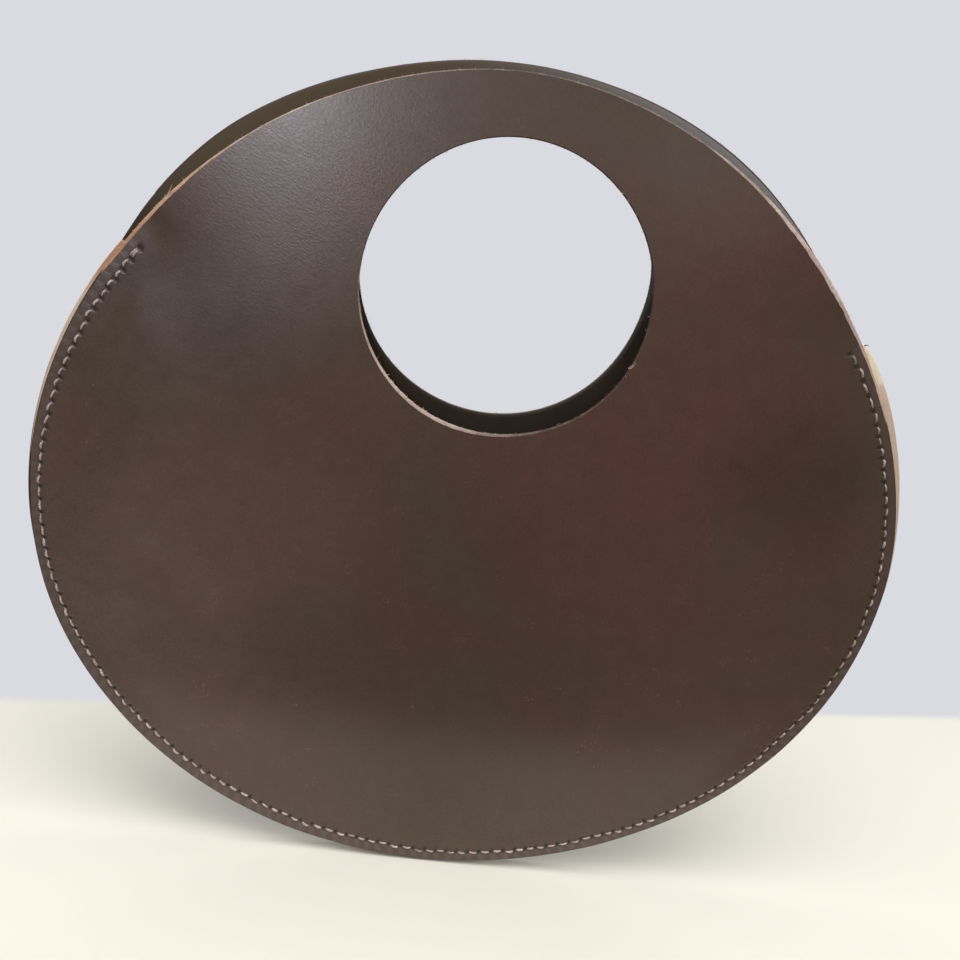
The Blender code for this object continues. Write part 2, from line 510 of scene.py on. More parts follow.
def panelRows():
    def rimSide(share, **more):
        return {"toStitch": share, "depth": 1, "rimCut": max(0, 1 - 1.35 * share), **more}

    def holeSide(outside, **more):
        fade = 1 - outside / holeEase
        return {"toStitch": 1, "past": pastEnd, "across": 1, "outside": outside, "depth": 1,
                "holeCut": fade, **more}

    pastEnd, holeEase, ease = 3.0 * mm, 2.4 * mm, 0.25 * mm
    middleSteps, fleshSteps = 20, 12
    rimShares = (0, 0.03, 0.1, 0.2, 0.32, 0.44, 0.56, 0.68, 0.78, 0.87, 0.94, 1)
    grain = [rimSide(share) for share in rimShares]
    grain += [{"toStitch": 1, "past": past * mm, "depth": 1} for past in (0.4, 0.8, 1.3, 2.0, 3.0)]
    for step in range(1, middleSteps + 1):
        share = step / middleSteps
        grain.append({"toStitch": 1, "past": pastEnd, "outside": holeEase, "depth": 1,
                      "across": share * share * (3 - 2 * share)})
    grain += [holeSide(outside * mm) for outside in (1.7, 1.1, 0.6, 0.3, 0.1, 0)]
    holeEdge = [
        holeSide(0, holeCut=0.42, drop=0.34),
        holeSide(0, holeCut=0, drop=1),
        holeSide(0, holeCut=0, depth=-0.2),
        holeSide(0, holeCut=0, depth=-0.78),
        holeSide(ease, holeCut=0, depth=-1),
    ]
    flesh = [holeSide(1.5 * mm, holeCut=0, depth=-1)]
    for step in range(fleshSteps, -1, -1):
        flesh.append({"toStitch": 1, "past": pastEnd, "outside": holeEase, "depth": -1,
                      "across": step / fleshSteps})
    flesh += [{"toStitch": share, "depth": -1} for share in (0.9, 0.5, 0.2, 0.06)]
    rimEdge = [
        {"depth": -0.85},
        {"depth": -0.55},
        {"depth": -0.1},
        {"depth": 1, "drop": 1},
        {"depth": 1, "drop": 0.34, "rimCut": 0.42},
        grain[0],
    ]
    rows = grain + holeEdge + flesh + rimEdge
    lastGrain = len(grain) - 1
    lastEdge = lastGrain + len(holeEdge)
    lastFlesh = lastEdge + len(flesh)
    return rows, lastGrain, lastEdge, lastFlesh


# Shader groups that more than one material uses
def shaderGroup(name, inputs, outputs):
    return newTree(name, "ShaderNodeTree", inputs, outputs)


def grainRelief():  # pebbles, pores and fine creases of the grain side
    tree, wires, leave = shaderGroup(
        "grainRelief",
        {"Vector": (0.0, 0.0, 0.0), "Pebble Size": 0.95 * mm, "Crease Size": 0.55 * mm, "Creases": 0.5},
        {"Height": 0.0})
    vector, scale = wires["Vector"], wires["Pebble Size"] ** -1
    cells = putNode(tree, "ShaderNodeTexVoronoi", {"Vector": vector, "Scale": scale, "Smoothness": 0.6},
                    "Distance", feature="SMOOTH_F1")
    pebble = 1 - cells.smooth(0.1, 0.7)
    fine = noise(vector, scale * 1.2, 3.0, 0.7, 2.0)
    values = {"Vector": vector, "Rotation": (0.0, 0.55, 0.0), "Scale": (3.2, 1.0, 1.0)}
    along = putNode(tree, "ShaderNodeMapping", values, vector_type="TEXTURE")
    fold = noise(along, wires["Crease Size"] ** -1, 2.0, 0.6, 4.0, 0.5)
    crease = (fold.smooth(0.35, 0.65) - 0.5) * wires["Creases"]
    feed(leave.inputs["Height"], pebble * 0.5 + fine * 0.7 + crease)
    return tree


def hideTone():  # how the dye took: warm and olive patches, and a fine speckle
    tree, wires, leave = shaderGroup(
        "hideTone",
        {"Vector": (0.0, 0.0, 0.0), "Patch Size": 60 * mm, "Seed": 0.0},
        {"Warm": 0.0, "Olive": 0.0, "Speckle": 0.0})
    vector, scale, seed = wires["Vector"], wires["Patch Size"] ** -1, wires["Seed"]
    warm = noise(vector, scale, 3.0, 0.5, seed, 0.4)
    olive = noise(vector, scale * 1.25, 3.0, 0.5, seed + 11, 0.5)
    coarse = noise(vector, scale * 9, 4.0, 0.6, seed + 5)
    fine = noise(vector, 900.0, 2.0, 0.6, seed)
    feedAll(leave, {"Warm": warm.smooth(0.46, 0.66), "Olive": olive.smooth(0.45, 0.66),
                    "Speckle": coarse * 0.6 + fine * 0.4})
    return tree


def awlHoles():  # awl holes along the seam, the leather pressed round them, and the margin they pucker
    tree, wires, leave = shaderGroup(
        "awlHoles",
        {"Seam": (0.0, 0.0, 0.0), "Sewn": 1.0, "Half Length": 0.14, "Half Width": 0.105, "Angle": 1.15,
         "Inside": 0.12},
        {"Slit": 0.0, "Press": 0.0, "Margin": 0.0, "Streak": 0.0})
    count, beyond, _ = splitXYZ(wires["Seam"])
    along = (count + 0.5).math("FRACT") - 0.5
    inner = beyond - wires["Inside"]
    cosine, sine = wires["Angle"].math("COSINE"), wires["Angle"].math("SINE")
    lengthways = (along * cosine + inner * sine) / wires["Half Length"]
    sideways = (inner * cosine - along * sine) / wires["Half Width"]
    reach = lengthOf(lengthways, sideways)
    margin = (beyond * -1).smooth(0.05, 0.3) * wires["Sewn"]
    streak = noise(joinXYZ(count * 5.0, beyond * 2.6 + count * 0.5, 0.0), 1.0, 3.0, 0.65)
    pulled = ((along * (2 * math.pi) + beyond * 2.2).math("COSINE") * 0.25 + streak).smooth(0.35, 0.8)
    feedAll(leave, {"Slit": (1 - reach.smooth(0.8, 1.2)) * wires["Sewn"],
                    "Press": (1 - reach.smooth(0.8, 2.6)) * wires["Sewn"],
                    "Margin": margin, "Streak": pulled * margin})
    return tree


def rawFibre():  # the fibrous section of cut leather, and its flesh side
    tree, wires, leave = shaderGroup(
        "rawFibre",
        {"Vector": (0.0, 0.0, 0.0), "Fibre Size": 0.6 * mm, "Stretch": 3.0},
        {"Tone": 0.0, "Height": 0.0})
    flat = joinXYZ(1.0, wires["Stretch"], 1.0)
    drawn = putNode(tree, "ShaderNodeVectorMath", {0: wires["Vector"], 1: flat}, operation="MULTIPLY")
    scale = wires["Fibre Size"] ** -1
    fibre = noise(drawn, scale, 4.0, 0.65, 1.0, 0.8)
    blot = noise(wires["Vector"], scale * 0.12, 2.0, 0.5, 8.0)
    feedAll(leave, {"Tone": fibre * 0.6 + blot * 0.4, "Height": fibre})
    return tree


reliefGroup, toneGroup, awlGroup, fibreGroup = grainRelief(), hideTone(), awlHoles(), rawFibre()
print("shader groups ready")


# Material helpers
def newMaterial(name, **settings):  # a Principled material; settings go on the shader's own sockets
    material = bpy.data.materials.new(name)
    material.use_nodes = True
    tree = material.node_tree
    shader = tree.nodes["Principled BSDF"]
    for key, value in settings.items():
        shader.inputs[key.replace("_", " ")].default_value = value
    return material, tree, shader


def useGroup(tree, group, values):
    node = addNode(tree, "ShaderNodeGroup", values, node_tree=group)
    return {socket.name: Wire(socket) for socket in node.outputs}


def mixColour(share, low, high, blend="MIX"):
    values = {0: share, 6: low, 7: high}
    return putNode(treeOf(share, low, high), "ShaderNodeMix", values, output=2, data_type="RGBA",
                   blend_type=blend)


def shadeColour(colour, factor):  # brighter or darker by a factor
    return mixColour(1.0, colour, joinXYZ(factor, factor, factor), "MULTIPLY")


def addBump(shader, *layers):  # each layer is a height in its own unit, and that unit in metres
    normal = {}
    for height, distance in layers:
        values = {"Strength": 1.0, "Distance": distance, "Height": height, **normal}
        normal = {"Normal": putNode(height.tree, "ShaderNodeBump", values)}
    feedAll(shader, normal)


def objectPlace(tree):
    return putNode(tree, "ShaderNodeTexCoord", output="Object")


def attributeValue(tree, name, output="Fac"):
    return putNode(tree, "ShaderNodeAttribute", output=output, attribute_name=name)


def seamPlace(tree):  # awl holes counted along the seam, and stitch pitches inwards from it
    return putNode(tree, "ShaderNodeUVMap", uv_map="seam")


def blots(vector, places):  # soft patches at chosen places of the panel, as one mask
    x, _, z = splitXYZ(vector)
    ragged = (noise(vector, 28.0, 3.0, 0.55, 3.0) - 0.5) * 0.9
    mask = None
    for placeX, placeZ, radius, strength in places:
        reach = lengthOf(x - placeX * mm, z - placeZ * mm) / (radius * mm) + ragged
        blot = (1 - reach.smooth(0.25, 1.15)) * strength
        mask = blot if mask is None else mask + blot
    return mask


# Dyed leather, grain side, with painted sheen, reflection and shade laid into its colour. Each place is
# x, z and radius in millimetres, then how strong the patch is
frontDyeAndPaintedLight = {
    "ground": (0.0625, 0.0380, 0.0250, 1.0),
    "warm": (0.077, 0.032, 0.024, 1.0),
    "olive": (0.061, 0.042, 0.028, 1.0),
    "dark": (0.045, 0.026, 0.016, 1.0),
    # painted sheen: a pale greyish colour laid where highlights and reflections fall
    "paintedSheen": (0.092, 0.061, 0.048, 1.0),
    # partly painted sheen: the pale margin outside the stitch line
    "margin": (0.105, 0.078, 0.070, 1.0),
    # painted shade: the near-black inside of the awl holes, which the mesh doesn't open
    "slit": (0.006, 0.004, 0.003, 1.0),
    "patchSize": 75 * mm,
    "seed": 2.0,
    "rough": 0.18,  # where the dye took evenly
    "grainHeight": 0.011 * mm,
    "pressDepth": 0.18 * mm,
    "streakHeight": 0.03 * mm,
    "warmPlaces": [(-100, 132, 46, 0.6), (50, 158, 56, 0.8), (95, 200, 46, 0.7), (85, 110, 36, 0.3),
                   (90, 270, 40, 0.5), (-60, 185, 36, 0.3), (8, 182, 26, 0.5)],
    "olivePlaces": [(-40, 130, 50, 0.8), (-95, 190, 40, 0.6), (20, 90, 50, 0.5), (-130, 200, 30, 0.5)],
    # partly dye, partly painted shade: dark patches where the leather would otherwise show reflections,
    # by the left seam end and low in the middle
    "darkDyeAndShadePlaces": [(-116, 224, 34, 0.75), (-84, 205, 34, 0.3), (122, 185, 40, 0.8), (-5, 150, 40, 0.2),
                   (10, 82, 76, 0.45)],
    # painted sheen at the upper left and along the top; painted reflection of the pale floor along the
    # left side and the bottom
    "paintedSheenPlaces": [(-62, 276, 66, 0.3), (-152, 128, 60, 0.9), (-95, 132, 56, 0.8),
                   (-120, 72, 62, 0.9), (-60, 22, 56, 0.6), (50, 16, 56, 0.4),
                   (72, 294, 44, 0.8)],
    "creasePlaces": [(-70, 262, 60, 1.0), (-98, 268, 44, 0.6), (-20, 290, 40, 0.5)],
}
backDyeAndPaintedLight = {
    **frontDyeAndPaintedLight,
    "seed": 9.0,
    "warmPlaces": [(60, 90, 50, 0.7), (-70, 190, 44, 0.7), (100, 215, 36, 0.5)],
    "olivePlaces": [(-30, 70, 60, 0.8), (90, 150, 48, 0.7)],
    # partly dye, partly painted shade
    "darkDyeAndShadePlaces": [(-110, 150, 46, 0.6)],
    # painted reflection of the pale floor at the bottom and the left side
    "paintedSheenPlaces": [(0, 30, 60, 0.3), (-120, 130, 40, 0.3)],
    "creasePlaces": [(70, 270, 50, 0.8), (-60, 285, 30, 0.6)],
}


def dyedLeather(name, dye):
    material, tree, shader = newMaterial(name, Specular_IOR_Level=0.5, IOR=1.48, Metallic=0.0)
    vector = objectPlace(tree)
    tone = useGroup(tree, toneGroup,
                    {"Vector": vector, "Patch Size": dye["patchSize"], "Seed": dye["seed"]})
    warm = (tone["Warm"] * 0.45 + blots(vector, dye["warmPlaces"])).math("MINIMUM", 1)
    olive = (tone["Olive"] * 0.5 + blots(vector, dye["olivePlaces"])).math("MINIMUM", 1)
    creases = blots(vector, dye["creasePlaces"]) * 0.6 + 0.2
    relief = useGroup(tree, reliefGroup, {"Vector": vector, "Creases": creases})
    holes = useGroup(tree, awlGroup, {"Seam": seamPlace(tree), "Sewn": attributeValue(tree, "sewn")})
    colour = dye["ground"]
    # dark patches: partly dye, partly painted shade
    shares = {"olive": olive, "warm": warm, "dark": blots(vector, dye["darkDyeAndShadePlaces"]),
              # pale greyish patches: painted sheen and painted reflection
              "paintedSheen": blots(vector, dye["paintedSheenPlaces"]) * 0.5}
    for key, share in shares.items():
        colour = mixColour(share, colour, dye[key])
    # the pale margin and streaks are partly the puckers' own tone and partly painted sheen; they grow
    # towards the bottom as a painted reflection of the pale floor
    low = 1 - splitXYZ(vector)[2].smooth(0.04, 0.20)
    marksAndPaintedLight = holes["Margin"] * (low * 0.12 + 0.08) + holes["Streak"] * (low * 0.5 + 0.12)
    colour = mixColour(marksAndPaintedLight, colour, dye["margin"])
    # the grain's relief height also sets the colour: painted shade in its creases and pores
    colour = shadeColour(colour, tone["Speckle"] * 0.6 + 0.67 + relief["Height"] * 0.22)
    # painted shade: 20% darker in the pressed dimple round each awl hole, and near-black in the holes
    # themselves
    colour = shadeColour(colour, 1 - holes["Press"] * 0.2)
    colour = mixColour(holes["Slit"], colour, dye["slit"])
    rough = tone["Speckle"] * 0.14 + dye["rough"] + warm * 0.03 + holes["Margin"] * 0.1
    rough = (rough + holes["Slit"] * 0.4).math("MINIMUM", 1)
    feedAll(shader, {"Base Color": colour, "Roughness": rough})
    addBump(shader, (relief["Height"], dye["grainHeight"]),
            (holes["Press"] * -1, dye["pressDepth"]), (holes["Streak"], dye["streakHeight"]))
    return material


# The flesh side, the knife's cut, the welt, the thread and loose fibres
rawLook = {
    "flesh": (0.014, 0.008, 0.003, 1.0),
    "fleshPale": (0.024, 0.015, 0.007, 1.0),
    "fleshPaintedLit": (0.064, 0.042, 0.019, 1.0),  # painted light: the top of the flesh side, lit from above
    # painted sheen: the top of the flesh side greyer and brighter towards the right
    "fleshRubbed": (0.175, 0.166, 0.160, 1.0),
    "bareCut": (0.40, 0.30, 0.26, 1.0),
    "bareCutPale": (0.55, 0.46, 0.40, 1.0),
    "bareCutDeep": (0.32, 0.18, 0.11, 1.0),
    "bareCutWarm": (0.52, 0.31, 0.20, 1.0),  # towards the left end of the seam
    "rust": (0.36, 0.19, 0.11, 1.0),
    "burnished": (0.045, 0.026, 0.020, 1.0),
    "welt": (0.56, 0.41, 0.31, 1.0),
    "weltCream": (0.74, 0.62, 0.44, 1.0),
    "thread": (0.62, 0.50, 0.47, 1.0),
    "threadDark": (0.17, 0.12, 0.10, 1.0),
    "fibre": (0.56, 0.42, 0.32, 1.0),
}
rawHeights = {"flesh": 0.10 * mm, "cut": 0.12 * mm, "welt": 0.15 * mm, "ply": 0.09 * mm}


def rustEnd(x, z):  # the left end of the seam, where the raw leather has darkened to rust
    low = z.smooth(flexHeight - 24 * mm, flexHeight - 6 * mm)
    high = z.smooth(flexHeight + 4 * mm, flexHeight + 18 * mm)
    return (1 - x.smooth(-0.13, -0.09)) * low * (1 - high)


def fleshSide():
    material, tree, shader = newMaterial("leather flesh side", Specular_IOR_Level=0.18,
                                         Sheen_Weight=0.05, Sheen_Roughness=0.5)
    vector = objectPlace(tree)
    fibre = useGroup(tree, fibreGroup, {"Vector": vector, "Fibre Size": 0.9 * mm, "Stretch": 1.0})
    colour = mixColour(fibre["Tone"].smooth(0.3, 0.75), rawLook["flesh"], rawLook["fleshPale"])
    x, _, z = splitXYZ(vector)
    # the flesh side is painted lighter at its top: painted light from above, with painted sheen towards
    # the right
    marksAndPaintedLight = mixColour((x + fibre["Tone"] * 0.03).smooth(-0.04, 0.10), rawLook["fleshPaintedLit"],
                     rawLook["fleshRubbed"])
    high = (z + fibre["Tone"] * 0.01).smooth(0.235, 0.285)
    feedAll(shader, {"Base Color": mixColour(high, colour, marksAndPaintedLight),
                     "Roughness": fibre["Tone"] * 0.2 + 0.36})
    addBump(shader, (fibre["Height"], rawHeights["flesh"]))
    return material


def alongCut(tree):  # a place on the cut edge, run along the seam and across the leather
    count, beyond, _ = splitXYZ(seamPlace(tree))
    depth = splitXYZ(objectPlace(tree))[1]
    return joinXYZ(count * seamLine["Pitch"] * 0.3, depth, beyond * seamLine["Pitch"])


def cutEdge():
    material, tree, shader = newMaterial("leather cut edge", Specular_IOR_Level=0.3)
    vector = objectPlace(tree)
    fibre = useGroup(tree, fibreGroup,
                     {"Vector": alongCut(tree), "Fibre Size": 0.5 * mm, "Stretch": 2.0})
    blot = noise(vector, 60.0, 3.0, 0.6, 6.0)
    tan = mixColour(blot.smooth(0.45, 0.75), rawLook["bareCut"], rawLook["bareCutPale"])
    x, _, z = splitXYZ(vector)
    tan = mixColour(0.85 - x.smooth(-0.120, -0.096) * 0.85, tan, rawLook["bareCutWarm"])
    tan = mixColour(rustEnd(x, z) * fibre["Tone"].smooth(0.3, 0.55), tan, rawLook["rust"])
    torn = noise(vector, 430.0, 2.0, 0.6, 3.0).smooth(0.5, 0.68)
    torn = (torn * 0.5 + fibre["Tone"].smooth(0.50, 0.70) * 0.7).math("MINIMUM", 0.85)
    tan = mixColour(torn, tan, rawLook["bareCutDeep"])
    bare = (attributeValue(tree, "bare") + (fibre["Tone"] - 0.5) * 0.9).smooth(0.25, 0.6)
    feedAll(shader, {"Base Color": mixColour(bare, rawLook["burnished"], tan),
                     "Roughness": bare * 0.3 + 0.42})
    addBump(shader, (fibre["Height"], rawHeights["cut"]))
    return material


def naturalWelt():
    material, tree, shader = newMaterial("natural welt leather", Specular_IOR_Level=0.3)
    vector = objectPlace(tree)
    x, _, z = splitXYZ(vector)
    fibre = useGroup(tree, fibreGroup,
                     {"Vector": alongCut(tree), "Fibre Size": 0.6 * mm, "Stretch": 1.6})
    high = (z + fibre["Tone"] * 0.01).smooth(flexHeight - 8 * mm, flexHeight - 4 * mm)
    cream = x.smooth(0.0, 0.05) * high
    rust = rustEnd(x, z) * fibre["Tone"].smooth(0.15, 0.45)
    colour = mixColour(rust, rawLook["welt"], rawLook["rust"])
    colour = mixColour(cream, colour, rawLook["weltCream"])
    colour = shadeColour(colour, fibre["Tone"] * 0.7 + 0.65)
    feedAll(shader, {"Base Color": colour, "Roughness": fibre["Tone"] * 0.2 + 0.66})
    addBump(shader, (fibre["Height"], rawHeights["welt"]))
    return material


def waxedThread():
    material, tree, shader = newMaterial("waxed thread", Specular_IOR_Level=0.45)
    around = splitXYZ(attributeValue(tree, "around", "Vector"))
    along = attributeValue(tree, "along")
    angle = around[1].math("ARCTAN2", around[0])
    ply = (angle * 2 + along * 26).math("SINE") * 0.5 + 0.5
    dirt = noise(objectPlace(tree), 260.0, 3.0, 0.6, 2.0).smooth(0.35, 0.7)
    # painted shade: darker towards both ends of each stitch, where the thread dives into the awl holes
    ends = (along - 0.55).math("ABSOLUTE").smooth(0.25, 0.5)
    towardsRight = splitXYZ(objectPlace(tree))[0].smooth(0.03, 0.15)  # darker towards the right end
    marksAndPaintedLight = dirt * 0.35 + ends * 0.35 + attributeValue(tree, "tone") * 0.4
    # painted light: each stitch darker at its start and lighter at its end
    marksAndPaintedLight = marksAndPaintedLight + (0.5 - along) * 0.3 + towardsRight * 0.25
    colour = mixColour(marksAndPaintedLight, rawLook["thread"], rawLook["threadDark"])
    # painted shade: the ply stripes darken the colour in the twist's grooves
    feedAll(shader, {"Base Color": shadeColour(colour, ply * 0.35 + 0.72),
                     "Roughness": dirt * 0.2 + 0.5})
    addBump(shader, (ply, rawHeights["ply"]))
    return material


def looseFibre():
    material, tree, shader = newMaterial("loose leather fibre", Roughness=0.8)
    tone = noise(objectPlace(tree), 300.0, 2.0, 0.5, 3.0)
    feed(shader.inputs["Base Color"], shadeColour(rawLook["fibre"], tone * 0.9 + 0.5))
    return material


fleshMaterial, cutMaterial, weltMaterial = fleshSide(), cutEdge(), naturalWelt()
threadMaterial, fibreMaterial = waxedThread(), looseFibre()
print("materials ready")


# The two leather panels, each one unbroken sheet over its sewn part and its handle arch
# Cuts give each value as (all round, [(degrees from the top, how much more, width in degrees), ...])
ringLead = 0.10  # turn by which a sheet's ring starts before the seam does
ringStart = {"First Turn": 2 * math.pi - seamTurn + ringLead, "Lead Sweep": ringLead - seamLead}
frontSheet = {**ringStart, "Side": -1.0}
frontCuts = {
    "proud": (0.0, [(-38, 1.0, 17), (28, 0.6, 12), (80, 1.0, 40), (128, 0.4, 10), (-155, 0.6, 18),
                    (-94, -1.2, 12)]),
    "rimCut": (0.45, [(-53, 1.0, 7), (45, 1.4, 11)]),
    "rimBare": (0.55, [(-54, 0.45, 9), (8, -0.22, 22), (52, 0.45, 12)]),
    "holeCut": (0.12, [(200, 1.05, 35)]),
    # the bump at 222 degrees is painted light: the bevel paler where it faces up towards the lamps
    "holeBareAndPaintedLight": (0.28, [(222, 0.42, 26)]),
    "wider": (0.0, [(170, -1.0, 24), (308, -0.7, 26)]),  # of the opening
}
backSheet = {
    **ringStart,
    "Side": 1.0,
    "Half Width": backHigh.x,
    "Rise": backRise,
    "Drop": widestHeight - backLow.z,
    "Shoulder Power": leather["backShoulderPower"],
    "Hole Rise": backRise - leather["backBand"] - leather["holeRadius"] + 0.9 * mm,
    "Hole Aside": -0.6 * mm,
    "Seed": 4.0,
}
backCuts = {
    "proud": (-0.3, [(-37, 2.2, 8), (-61, -3.0, 6.5), (-22, 0.5, 7), (24, 0.6, 8), (48, -3.2, 8),
                     (62, -1.2, 8)]),
    "rimCut": (0.45, []),
    "rimBare": (0.22, [(22, 0.4, 42)]),
    "holeCut": (0.3, []),
    "holeBareAndPaintedLight": (0.4, []),
    "wider": (0.0, [(80, 1.1, 12), (237, 1.3, 26)]),
}
bendLength = 35 * mm  # a stretch above the flex line; bendWithArch adds it to the flex height but bends nothing


def buildPanel(word, sizes, cuts, dye):
    rows, lastGrain, lastEdge, lastFlesh = panelRows()
    profile = drawProfile(word + "Profile", rows)
    values = {**sizes, "Profile": profile, "Rows": len(rows), "Grain Rows": lastGrain,
              "Hole Edge Rows": lastEdge, "Flesh Rows": lastFlesh,
              "Grain": dyedLeather(word + " dyed leather", dye), "Cut Edge": cutMaterial,
              "Flesh": fleshMaterial}
    panel = growPiece(word + "_leather", sheetTree(word + "Sheet", cuts), values)
    bpy.data.objects.remove(profile)
    return panel


def bendWithArch(piece, word, side):
    start = (0.0, side * outerFace, flexHeight)
    word + "_arch"
    start[2] + bendLength
    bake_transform(piece)


frontLeather = buildPanel("front", frontSheet, frontCuts, frontDyeAndPaintedLight)
backLeather = buildPanel("back", backSheet, backCuts, backDyeAndPaintedLight)
panels = (("front", frontLeather, -1), ("back", backLeather, 1))
for word, panel, side in panels:
    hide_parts(word + "_panel", word + "_handle_arch")
print("panels ready:", len(frontLeather.data.polygons), "faces each")


# The welt, a strip of natural leather that stands proud of the seam
weltSheet = {
    "Columns": 900,
    "Closed Ends": 1,
    "First Turn": 2 * math.pi - seamTurn,
    "Sweep": 2 * math.pi - 2 * seamTurn + 0.015,  # a little past the seam at its right end
    "Side": 1.0,
    "Edge Wobble": 0.25 * mm,
    "Thickness": weltThickness,
    "Seed": 12.0,
    **dict.fromkeys(("Seam Offset", "Pocket Offset", "Groove", "Pucker", "Wave"), 0.0),  # it lies flat
}
weltCuts = {  # it stands furthest out at the right end, and dips behind the panels at the left
    "proud": (0.8, [(64, 3.4, 17), (53.0, -3.4, 2.3), (115, 1.1, 22), (-64, 1.5, 11),
                    (-96, -1.2, 14)]),
    "rimCut": (0.3, []),
    "rimBare": (1.0, []),
}
weltInner = 8.5 * mm  # how far the strip reaches past the stitch line


def weltRows():
    outer = [{"toStitch": share, "depth": 1, "rimCut": max(0, 1 - 4 * share)}
             for share in (0, 0.1, 0.4, 1)]
    inner = [{"toStitch": 1, "past": weltInner, "depth": depth} for depth in (1, 0.3, -0.3, -1)]
    under = [{"toStitch": share, "depth": -1} for share in (1, 0.4, 0.1)]
    edge = [{"depth": -0.75}, {"depth": -0.3}, {"depth": 0.2}, {"depth": 1, "drop": 1}, outer[0]]
    return outer + inner + under + edge


weltProfile = drawProfile("weltProfile", weltRows())
weltMaterials = {"Grain": weltMaterial, "Cut Edge": weltMaterial, "Flesh": weltMaterial}
welt = growPiece("natural_welt", sheetTree("weltSheet", weltCuts),
                 {**weltSheet, **weltMaterials, "Profile": weltProfile, "Rows": len(weltRows())})
bpy.data.objects.remove(weltProfile)
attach(welt, "root")
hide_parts("seam_welt")
print("welt ready")


# Saddle stitches, on both faces of the bag
stitchSizes = {
    **seamLine,
    "First Turn": seamStart,
    "Sweep": seamSweep,
    "Side": -1.0,
    "Surface": seamOffset + leather["thickness"] / 2,
    "First": 0,
    "Count": 139,
    "Thread Width": 0.95 * mm,
    "Hole Gap": 0.74 * mm,  # from the middle of an awl hole to where the thread shows
    "Slant": 0.14 * mm,
    "Lean": 1.0,  # 1 slants from the slit's inner end to the next one's outer end
    "Rise": 0.12 * mm,
    "Sink": 0.90 * mm,
    "Sag": 0.30 * mm,
    "Aside": 0.0,
    "Lift": 0.0,
    "Jitter": 0.16 * mm,
    "Twist": 0.14,
    "Seed": 3,
    "Thread": "Material",
}
stitchKinds = [(1.0, 1.0, 0.5), (0.5, 0.7, 0.6), (-0.4, 1.3, 0.45), (1.6, 0.8, 0.62)]  # sag, rise, peak
threadRange = (0.74, 1.12)  # how much one stitch is thinner or thicker than the next


def randomValue(low, high, seed, add):
    values = {2: low, 3: high, 8: seed + add}
    return putNode(seed.tree, "FunctionNodeRandomValue", values, output=1, data_type="FLOAT")


def turnedBy(rotation, more):
    values = {"Rotation": rotation, "Rotate By": more}
    return putNode(more.tree, "FunctionNodeRotateRotation", values, rotation_space="LOCAL")


